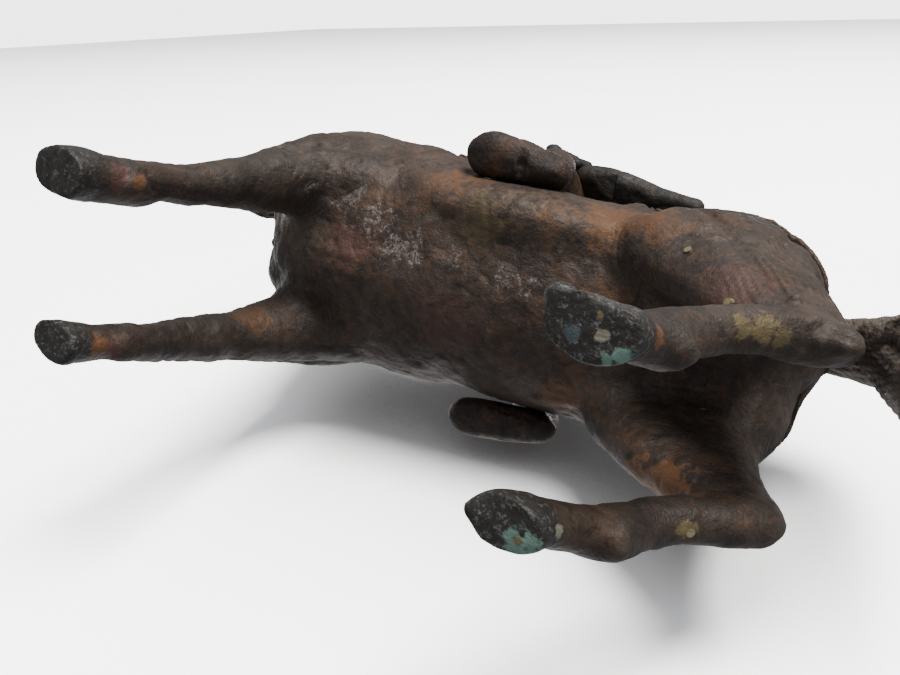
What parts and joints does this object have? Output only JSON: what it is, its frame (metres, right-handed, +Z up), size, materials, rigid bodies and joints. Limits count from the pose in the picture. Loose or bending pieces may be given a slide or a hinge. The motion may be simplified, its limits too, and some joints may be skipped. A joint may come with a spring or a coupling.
{
  "type": "horse and rider statuette",
  "caption": "Small standing horse in dark cast bronze with a saddled rider in a robe and cap, a sword at the left hip, and the rider lifting off a peg.",
  "frame": {"origin": "on the ground, under the middle of the statue's bounding box", "axes": "+X the way the horse faces, +Y its left side, +Z up from the hooves"},
  "size_m": [0.2569, 0.0902, 0.2204],
  "materials": {
    "bronze": "dark brown patina, worn and lightly polished",
    "dark_bronze": "nearly black patina",
    "bare_brass": "dull yellow metal"
  },
  "bodies": {
    "horse": {"trunk": "bronze", "neck": "bronze", "head": "bronze", "mane": "bronze", "left_ear": "bronze", "right_ear": "bronze", "tail": "bronze", "left_foreleg": "bronze", "right_foreleg": "bronze", "left_hindleg": "bronze", "right_hindleg": "bronze", "leg_dowels": "dark_bronze", "neck_dowel": "dark_bronze", "tail_dowel": "dark_bronze", "cross_pins": "bare_brass", "core_pins": "bare_brass", "saddle_cloth": "bronze", "saddle": "dark_bronze", "breast_strap": "dark_bronze", "crupper_strap": "dark_bronze", "bridle": "dark_bronze", "reins": "dark_bronze"},
    "rider": {"rider_robe": "bronze", "rider_belt": "dark_bronze", "rider_head": "bronze", "rider_cap": "dark_bronze", "rider_left_arm": "bronze", "rider_right_arm": "bronze", "rider_left_leg": "bronze", "rider_right_leg": "bronze", "left_boot": "dark_bronze", "right_boot": "dark_bronze", "sword_scabbard": "dark_bronze", "sword_hilt": "bare_brass", "rider_peg": "bare_brass"}
  },
  "joints": [
    {"name": "rider_lift", "type": "slide", "parent": "horse", "child": "rider", "axis": [0, 0, 1], "range_m": [0, 0.06]}
  ]
}
